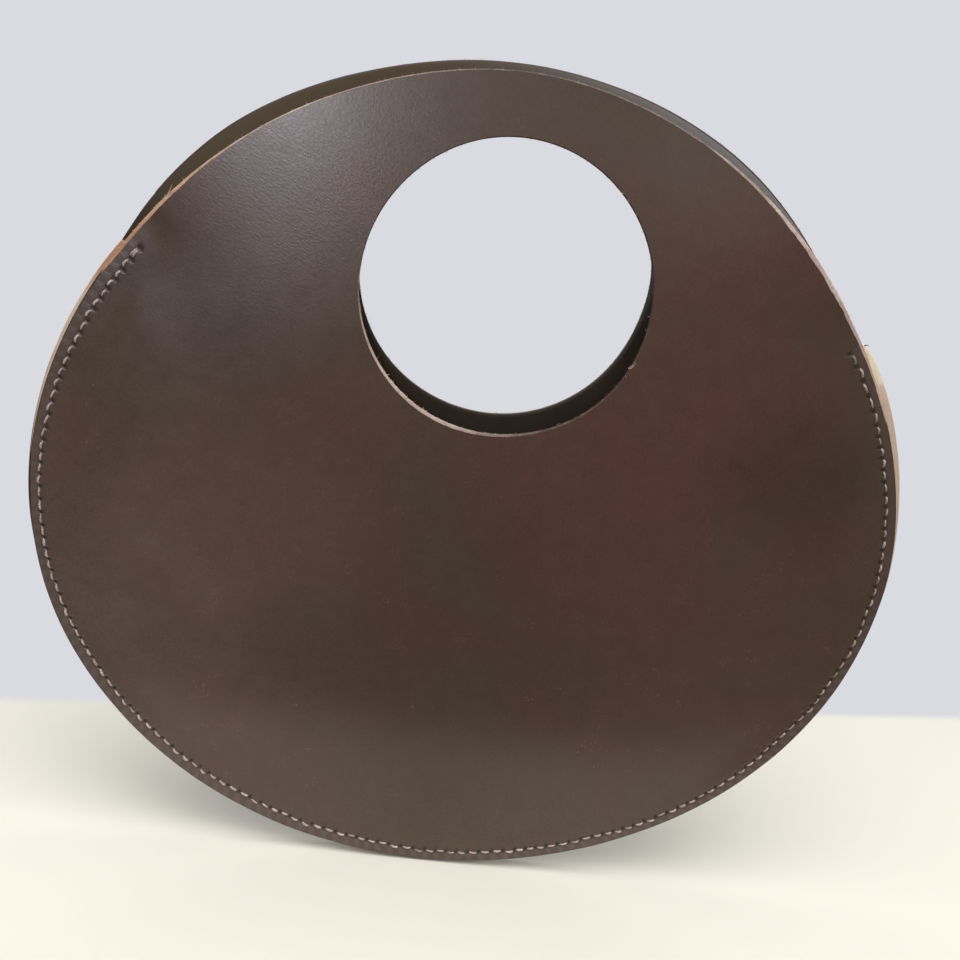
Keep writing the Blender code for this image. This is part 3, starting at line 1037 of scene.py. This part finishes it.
def stitchTree():
    def vary(low, high, add):
        return randomValue(low, high, wires["Seed"], add)

    tree, wires, leave = newGrower("saddleStitches", stitchSizes)
    guide = guideCurve(wires, wires["First Turn"], wires["Sweep"])
    number = putNode(tree, "GeometryNodeInputIndex") + wires["First"]
    places = []
    for each in (number, number + 1):
        values = {"Curves": guide, "Length": handPlace(wires, each)}
        places.append(putNode(tree, "GeometryNodeSampleCurve", values, "Position", mode="LENGTH"))
    chord = putNode(tree, "ShaderNodeVectorMath", {0: places[1], 1: places[0]}, operation="SUBTRACT")
    chordX, _, chordZ = splitXYZ(chord)
    run = lengthOf(chordX, chordZ)
    startX, _, startZ = splitXYZ(places[0])
    aside = wires["Aside"] + vary(wires["Jitter"] * -1, wires["Jitter"], 0)
    depth = wires["Side"] * (wires["Surface"] + wires["Lift"])
    place = joinXYZ(startX - chordZ / run * aside, depth, startZ + chordX / run * aside)
    points = putNode(tree, "GeometryNodeMeshLine", {"Count": wires["Count"]})
    points = putNode(tree, "GeometryNodeSetPosition", {"Geometry": points, "Position": place})

    # Unit stitches of a few kinds, lying along X from slit to slit, with Z out of the leather
    slant = wires["Slant"] * wires["Lean"] * wires["Side"] * -1
    line = putNode(tree, "GeometryNodeCurvePrimitiveLine",
                   {"Start": joinXYZ(wires["Hole Gap"], slant, 0.0),
                    "End": joinXYZ(wires["Pitch"] - wires["Hole Gap"], slant * -1, 0.0)})
    line = putNode(tree, "GeometryNodeResampleCurve", {"Curve": line, "Count": 9})
    factor = putNode(tree, "GeometryNodeSplineParameter")
    line = storeValue(line, "along", factor)
    radius = wires["Thread Width"] / 2
    circle = putNode(tree, "GeometryNodeCurvePrimitiveCircle", {"Resolution": 8, "Radius": radius})
    values = {0: putNode(tree, "GeometryNodeInputPosition"), "Scale": radius ** -1}
    ring = putNode(tree, "ShaderNodeVectorMath", values, operation="SCALE")
    circle = storeValue(circle, "around", ring, "FLOAT_VECTOR")
    kinds = addNode(tree, "GeometryNodeJoinGeometry")
    for sagShare, riseShare, peak in stitchKinds:
        off = (factor / peak).math("MINIMUM", (1 - factor) / (1 - peak)) * -1 + 1
        arch = (1 - off ** 2.2) * (wires["Rise"] * riseShare + wires["Sink"]) - wires["Sink"]
        sag = (1 - off * off) * wires["Sag"] * wires["Side"] * sagShare
        bent = putNode(tree, "GeometryNodeSetPosition",
                       {"Geometry": line, "Offset": joinXYZ(0.0, sag, arch)})
        tube = putNode(tree, "GeometryNodeCurveToMesh",
                       {"Curve": bent, "Profile Curve": circle, "Fill Caps": True})
        feed(kinds.inputs[0], putNode(tree, "GeometryNodeGeometryToInstance", {"Geometry": tube}))

    # All of them, each a little different
    values = {0: joinXYZ(0.0, wires["Side"], 0.0), 1: chord}
    axes = putNode(tree, "FunctionNodeAxesToRotation", values, primary_axis="Z", secondary_axis="X")
    turned = vary(wires["Twist"] * -1, wires["Twist"], 1)
    twist = putNode(tree, "FunctionNodeAxisAngleToRotation", {"Axis": (0.0, 0.0, 1.0), "Angle": turned})
    thick = vary(*threadRange, 2)
    scale = joinXYZ(run / wires["Pitch"], thick, thick)
    values = {4: 0, 5: len(stitchKinds) - 1, 8: wires["Seed"] + 6}
    which = putNode(tree, "FunctionNodeRandomValue", values, output=2, data_type="INT")
    placed = putNode(tree, "GeometryNodeInstanceOnPoints",
                     {"Points": points, "Instance": kinds.outputs[0], "Pick Instance": True,
                      "Instance Index": which, "Rotation": turnedBy(axes, twist), "Scale": scale})
    toned = storeValue(placed, "tone", vary(0.0, 1.0, 4), "FLOAT", "INSTANCE")
    real = putNode(tree, "GeometryNodeRealizeInstances", {"Geometry": toned})
    soft = putNode(tree, "GeometryNodeSetShadeSmooth", {"Geometry": real})
    feed(leave.inputs[0], setMaterial(soft, wires["Thread"]))
    return tree


saddleStitches = stitchTree()
stitchRuns = {
    "front_stitches": {},
    "back_stitches": {"Side": 1.0, "Lean": -1.0, "Seed": 8},
    "front_left_backstitch": {"First": 0, "Count": 2, "Aside": -0.45 * mm, "Lift": 0.2 * mm, "Seed": 21,
                              "Jitter": 0.2 * mm},
    "back_left_backstitch": {"Side": 1.0, "First": 0, "Count": 2, "Aside": 0.7 * mm, "Lift": 0.25 * mm,
                             "Seed": 22},
}
for name, values in stitchRuns.items():
    stitches = growPiece(name, saddleStitches, {**values, "Thread": threadMaterial})
    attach(stitches, "root")
print("stitches ready")


# Loose fibres along the bare cuts
fraySizes = {
    "Sheet": "Object",
    "Density": 700000.0,  # fibres for each square metre of bare cut
    "Longest": 1.5 * mm,
    "Thickness": 0.10 * mm,
    "Seed": 5,
    "Fibre": "Material",
}
cutSlot = 1  # a sheet's cut edge is its second material, and its first slot stays empty
mostTilt = 1.1  # radians, to either side


def frayTree():
    tree, wires, leave = newGrower("edgeFray", fraySizes)
    sheet = putNode(tree, "GeometryNodeObjectInfo", {"Object": wires["Sheet"]}, "Geometry")
    slot = putNode(tree, "GeometryNodeInputMaterialIndex")
    scattered = addNode(tree, "GeometryNodeDistributePointsOnFaces",
                        {"Mesh": sheet, "Selection": slot.math("COMPARE", cutSlot, 0.5),
                         "Seed": wires["Seed"], "Density": readValue(tree, "bare") * wires["Density"]})
    hair = putNode(tree, "GeometryNodeMeshCone",
                   {"Vertices": 3, "Side Segments": 3, "Radius Top": 0.0, "Depth": wires["Longest"],
                    "Radius Bottom": wires["Thickness"]})
    tilts = [randomValue(-mostTilt, mostTilt, wires["Seed"], add) for add in (1, 2)]
    tilt = putNode(tree, "FunctionNodeEulerToRotation", {"Euler": joinXYZ(*tilts, 0.0)})
    size = randomValue(0.3, 1.0, wires["Seed"], 3) ** 2
    placed = putNode(tree, "GeometryNodeInstanceOnPoints",
                     {"Points": scattered.outputs["Points"], "Instance": hair,
                      "Rotation": turnedBy(scattered.outputs["Rotation"], tilt),
                      "Scale": joinXYZ(1.0, 1.0, size)})
    real = putNode(tree, "GeometryNodeRealizeInstances", {"Geometry": placed})
    feed(leave.inputs[0], setMaterial(real, wires["Fibre"]))
    return tree


looseEnds = {  # start, middle and end in millimetres, then how thick
    "rim_sliver": ((-125.9, -3.4, 254.3), (-124.9, -4.8, 256.5), (-123.8, -5.6, 259.4), 0.42),
    "opening_curl": ((49.8, -6.3, 218.1), (50.8, -7.5, 217.8), (52.2, -7.0, 220.3), 0.20),
    "opening_hair": ((50.2, -6.3, 218.5), (51.4, -7.6, 219.5), (51.7, -7.4, 221.5), 0.14),
    "seam_end_curl": ((139.8, -2.8, 239.1), (140.8, -3.2, 239.9), (141.5, -3.0, 239.1), 0.24),
}


def looseEndTree():
    places = dict.fromkeys(("Start", "Middle", "End"), (0.0, 0.0, 0.0))
    tree, wires, leave = newGrower("looseEnd", {**places, "Thickness": 0.2 * mm, "Fibre": "Material"})
    bend = putNode(tree, "GeometryNodeCurveQuadraticBezier",
                   {"Resolution": 12, **{key: wires[key] for key in places}})
    factor = putNode(tree, "GeometryNodeSplineParameter")
    circle = putNode(tree, "GeometryNodeCurvePrimitiveCircle", {"Resolution": 5, "Radius": 1.0})
    tube = putNode(tree, "GeometryNodeCurveToMesh",
                   {"Curve": bend, "Profile Curve": circle, "Fill Caps": True,
                    "Scale": (factor * -1 + 1.15) * wires["Thickness"]})
    real = putNode(tree, "GeometryNodeRealizeInstances", {"Geometry": tube})
    feed(leave.inputs[0], setMaterial(real, wires["Fibre"]))
    return tree


edgeFray = frayTree()
for word, panel, side in panels:
    values = {"Sheet": panel, "Fibre": fibreMaterial, "Seed": fraySizes["Seed"] + side}
    fray = growPiece(word + "_edge_fibres", edgeFray, values)
    bendWithArch(fray, word, side)
    bendWithArch(panel, word, side)
looseEnd = looseEndTree()
for name, (start, middle, end, thickness) in looseEnds.items():
    places = {"Start": Vector(start) * mm, "Middle": Vector(middle) * mm, "End": Vector(end) * mm}
    fibre = fleshMaterial if name == "seam_end_curl" else fibreMaterial
    scrap = growPiece(name, looseEnd, {**places, "Thickness": thickness * mm, "Fibre": fibre})
    bendWithArch(scrap, "front", -1)
print("fibres ready")


# Floor, light and camera
studio = {
    "floorRadius": 2.5,
    "floor": (0.79, 0.775, 0.69, 1.0),
    "farFloor": (0.12, 0.12, 0.12, 1.0),
    "backdrop": (0.70, 0.71, 0.75, 1.0),
    "floorFade": (1.0, 2.3),  # how far from the bag the floor passes into the backdrop
    "litFront": (-0.13, -0.085),  # the stretch that throws light back on the bag
    "litSides": (0.35, 0.60),
    "wallFoot": (0.1346, 0.2065),  # y at x = 0, and its rise along x
    "wallHeight": 2.0,
    "footFade": 5.6 * mm,
    "ambient": (0.84, 0.86, 0.92, 1.0),
    "ambientStrength": 0.2,
}
lamps = {  # place, aim, size, watts, colour
    "window": ((-0.43, -1.5, 0.52), (-0.085, 0.0, 0.276), (0.33, 0.27), 5.1, (0.91, 0.90, 1.0)),
    "room": ((0.20, -1.5, 0.58), (0.0, 0.0, 0.27), (1.3, 0.44), 1.1, (1.0, 0.97, 0.95)),
    "skylight": ((0.05, -0.9, 1.7), (0.0, 0.0, 0.15), (2.2, 1.8), 28, (1.0, 0.98, 0.95)),
    "ceiling": ((0.0, -0.3, 1.9), (0.0, 0.0, 0.0), (2.4, 2.0), 25, (1.0, 0.98, 0.95)),
    "rear": ((0.3, 1.7, 0.9), (0.0, 0.0, 0.18), (1.1, 1.1), 6, (1.0, 1.0, 1.0)),
}
view = {
    "place": (-0.0293, -0.3666, 0.2451),
    "turnDegrees": (77.780, -8.340, -2.912),
    "lens": 36.0,  # 960 pixels of focal length over a picture 960 pixels wide
    "sensor": 36.0,
}


def wallLine(x):
    foot, slope = studio["wallFoot"]
    return x * slope + foot


def seenRay(tree):  # 1 for what the camera sees, 0 for the light between things
    return putNode(tree, "ShaderNodeLightPath", output="Is Camera Ray")


def stagePiece(name, mesh, material):
    mesh.materials.append(material)
    piece = newObject(name, mesh)


def buildFloor():
    sheet = bmesh.new()
    bmesh.ops.create_circle(sheet, cap_ends=True, segments=96, radius=studio["floorRadius"])
    mesh = bpy.data.meshes.new("floor")
    sheet.to_mesh(mesh)
    sheet.free()
    material, tree, shader = newMaterial("pale floor", Roughness=0.9, Specular_IOR_Level=0.1)
    x, y, _ = splitXYZ(objectPlace(tree))
    seen = seenRay(tree)
    behind = (y - wallLine(x)).smooth(0, studio["footFade"] * 2)
    front = 1 - y.smooth(*studio["litFront"])
    dim = behind + front + x.math("ABSOLUTE").smooth(*studio["litSides"])
    dim = dim.math("MINIMUM", 1) * (1 - seen)
    feed(shader.inputs["Base Color"], mixColour(dim, studio["floor"], studio["farFloor"]))
    away = lengthOf(x, y).smooth(*studio["floorFade"])
    glow = putNode(tree, "ShaderNodeEmission", {"Color": studio["backdrop"], "Strength": 1.0})
    blend = putNode(tree, "ShaderNodeMixShader", {0: away * seen, 1: shader.outputs[0], 2: glow})
    feed(tree.nodes["Material Output"].inputs["Surface"], blend)
    stagePiece("floor", mesh, material)


def buildWall():  # a plain wall behind the bag, which neither throws light nor shows from behind
    reach = studio["floorRadius"]
    ends = [(side * reach, wallLine(side * reach)) for side in (-1, 1)]
    corners = [(*end, 0.0) for end in ends] + [(*end, studio["wallHeight"]) for end in reversed(ends)]
    mesh = bpy.data.meshes.new("wall")
    mesh.from_pydata(corners, [], [(0, 1, 2, 3)])
    material, tree, shader = newMaterial("pale wall", Roughness=1.0, Specular_IOR_Level=0.0)
    feedAll(shader, {"Base Color": (0.0, 0.0, 0.0, 1.0), "Emission Color": studio["backdrop"],
                     "Emission Strength": 1.0})
    height = splitXYZ(objectPlace(tree))[2].smooth(0, studio["footFade"])
    fromBehind = putNode(tree, "ShaderNodeNewGeometry", output="Backfacing")
    feed(shader.inputs["Alpha"], height * seenRay(tree) * (1 - fromBehind))
    stagePiece("wall", mesh, material)


def buildWorld():
    world = bpy.data.worlds.new("studio")
    scene.world = world
    world.use_nodes = True
    tree = world.node_tree
    ambient = tree.nodes["Background"]
    feedAll(ambient, {"Color": studio["ambient"], "Strength": studio["ambientStrength"]})
    backdrop = putNode(tree, "ShaderNodeBackground", {"Color": studio["backdrop"], "Strength": 1.0})
    blend = putNode(tree, "ShaderNodeMixShader", {0: seenRay(tree), 1: ambient.outputs[0], 2: backdrop})
    feed(tree.nodes["World Output"].inputs["Surface"], blend)


def buildLamps():
    for name, (place, aim, size, watts, colour) in lamps.items():
        light = bpy.data.lights.new(name, "AREA")
        light.shape = "RECTANGLE"
        light.size, light.size_y = size
        light.energy = watts
        light.color = colour
        holder = newObject(name, light)
        holder.location = place
        holder.rotation_euler = (Vector(aim) - Vector(place)).to_track_quat("-Z", "Y").to_euler()


def buildCamera():
    camera = newObject("camera", bpy.data.cameras.new("camera"))
    camera.location = view["place"]
    camera.rotation_euler = [math.radians(angle) for angle in view["turnDegrees"]]
    camera.data.lens = view["lens"]
    camera.data.sensor_width = view["sensor"]
    camera.data.clip_start = 0.01
    scene.camera = camera


buildFloor()
buildWall()
buildWorld()
buildLamps()
buildCamera()
scene.view_settings.view_transform = "Standard"
print("studio ready")
